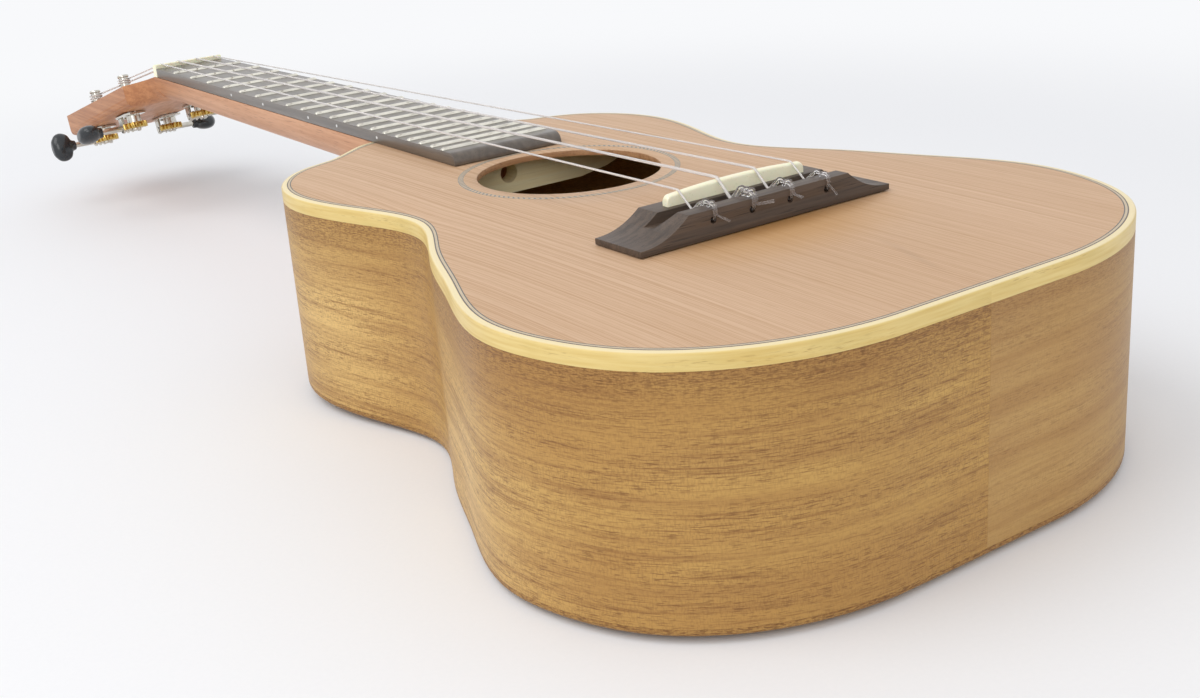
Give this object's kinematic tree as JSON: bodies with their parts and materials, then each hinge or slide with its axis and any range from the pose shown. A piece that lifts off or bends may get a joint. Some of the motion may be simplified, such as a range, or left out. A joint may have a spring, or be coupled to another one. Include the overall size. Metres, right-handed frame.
{
  "type": "tenor ukulele",
  "caption": "Tenor ukulele with a soundhole body, pale top binding, dark fretted fingerboard, tie bridge, nylon strings and open-gear tuners whose keys turn the string posts.",
  "frame": {"origin": "under the middle of the overall box, on the surface that the lowest, flat part of the back rests on", "axes": "+Y from the tail to the head along the neck, +Z out of the soundboard, +X towards the treble side"},
  "size_m": [0.2138, 0.6626, 0.0926],
  "materials": {
    "cedar": "satin",
    "side_wood": "satin",
    "maple": "satin",
    "spruce": "raw",
    "neck_wood": "satin",
    "dark_wood": "oiled",
    "bone": "polished",
    "nickel": "polished",
    "chrome": "polished",
    "brass": "polished",
    "steel": "plain",
    "black_plastic": "gloss",
    "nylon": "gloss"
  },
  "bodies": {
    "instrument": {"soundboard": "cedar", "back_plate": "side_wood", "side_bass": "side_wood", "side_treble": "side_wood", "top_binding": "maple", "top_lining": "spruce", "back_lining": "spruce", "neck_block": "spruce", "tail_block": "spruce", "upper_brace": "spruce", "lower_brace": "spruce", "back_brace_lower": "spruce", "back_brace_upper": "spruce", "bridge_plate": "spruce", "truss_rod": "steel", "neck": "neck_wood", "fingerboard": "dark_wood", "nut": "bone", "bridge": "dark_wood", "saddle": "bone", "fret_01": "nickel", "fret_02": "nickel", "fret_03": "nickel", "fret_04": "nickel", "fret_05": "nickel", "fret_06": "nickel", "fret_07": "nickel", "fret_08": "nickel", "fret_09": "nickel", "fret_10": "nickel", "fret_11": "nickel", "fret_12": "nickel", "fret_13": "nickel", "fret_14": "nickel", "fret_15": "nickel", "fret_16": "nickel", "fret_17": "nickel", "fret_18": "nickel", "fret_19": "nickel", "fret_20": "nickel", "string_1": "nylon", "string_2": "nylon", "string_3": "nylon", "string_4": "nylon", "tuner_plate_1": "chrome", "tuner_plate_2": "chrome", "tuner_plate_3": "chrome", "tuner_plate_4": "chrome"},
    "post_1": {"string_post_1": "brass"},
    "post_2": {"string_post_2": "brass"},
    "post_3": {"string_post_3": "brass"},
    "post_4": {"string_post_4": "brass"},
    "key_1": {"worm_shaft_1": "chrome", "tuner_button_1": "black_plastic"},
    "key_2": {"worm_shaft_2": "chrome", "tuner_button_2": "black_plastic"},
    "key_3": {"worm_shaft_3": "chrome", "tuner_button_3": "black_plastic"},
    "key_4": {"worm_shaft_4": "chrome", "tuner_button_4": "black_plastic"}
  },
  "joints": [
    {"name": "key_1_turn", "type": "hinge", "parent": "instrument", "child": "key_1", "pos_m": [0.019, 0.24766, 0.04768], "axis": [1, 0, 0], "continuous": true},
    {"name": "key_2_turn", "type": "hinge", "parent": "instrument", "child": "key_2", "pos_m": [0.019, 0.29982, 0.0337], "axis": [1, 0, 0], "continuous": true},
    {"name": "key_3_turn", "type": "hinge", "parent": "instrument", "child": "key_3", "pos_m": [-0.019, 0.29982, 0.0337], "axis": [1, 0, 0], "continuous": true},
    {"name": "key_4_turn", "type": "hinge", "parent": "instrument", "child": "key_4", "pos_m": [-0.019, 0.24766, 0.04768], "axis": [1, 0, 0], "continuous": true},
    {"name": "post_1_turn", "type": "hinge", "parent": "instrument", "child": "post_1", "pos_m": [0.019, 0.24441, 0.06801], "axis": [0, 0.2588, 0.9659], "continuous": true},
    {"name": "post_2_turn", "type": "hinge", "parent": "instrument", "child": "post_2", "pos_m": [0.019, 0.29657, 0.05404], "axis": [0, 0.2588, 0.9659], "continuous": true},
    {"name": "post_3_turn", "type": "hinge", "parent": "instrument", "child": "post_3", "pos_m": [-0.019, 0.29657, 0.05404], "axis": [0, 0.2588, 0.9659], "continuous": true},
    {"name": "post_4_turn", "type": "hinge", "parent": "instrument", "child": "post_4", "pos_m": [-0.019, 0.24441, 0.06801], "axis": [0, 0.2588, 0.9659], "continuous": true}
  ],
  "couplings": [
    {"joint": "post_1_turn", "follows": "key_1_turn", "ratio": 0.071429},
    {"joint": "post_2_turn", "follows": "key_2_turn", "ratio": 0.071429},
    {"joint": "post_3_turn", "follows": "key_3_turn", "ratio": -0.071429},
    {"joint": "post_4_turn", "follows": "key_4_turn", "ratio": -0.071429}
  ]
}
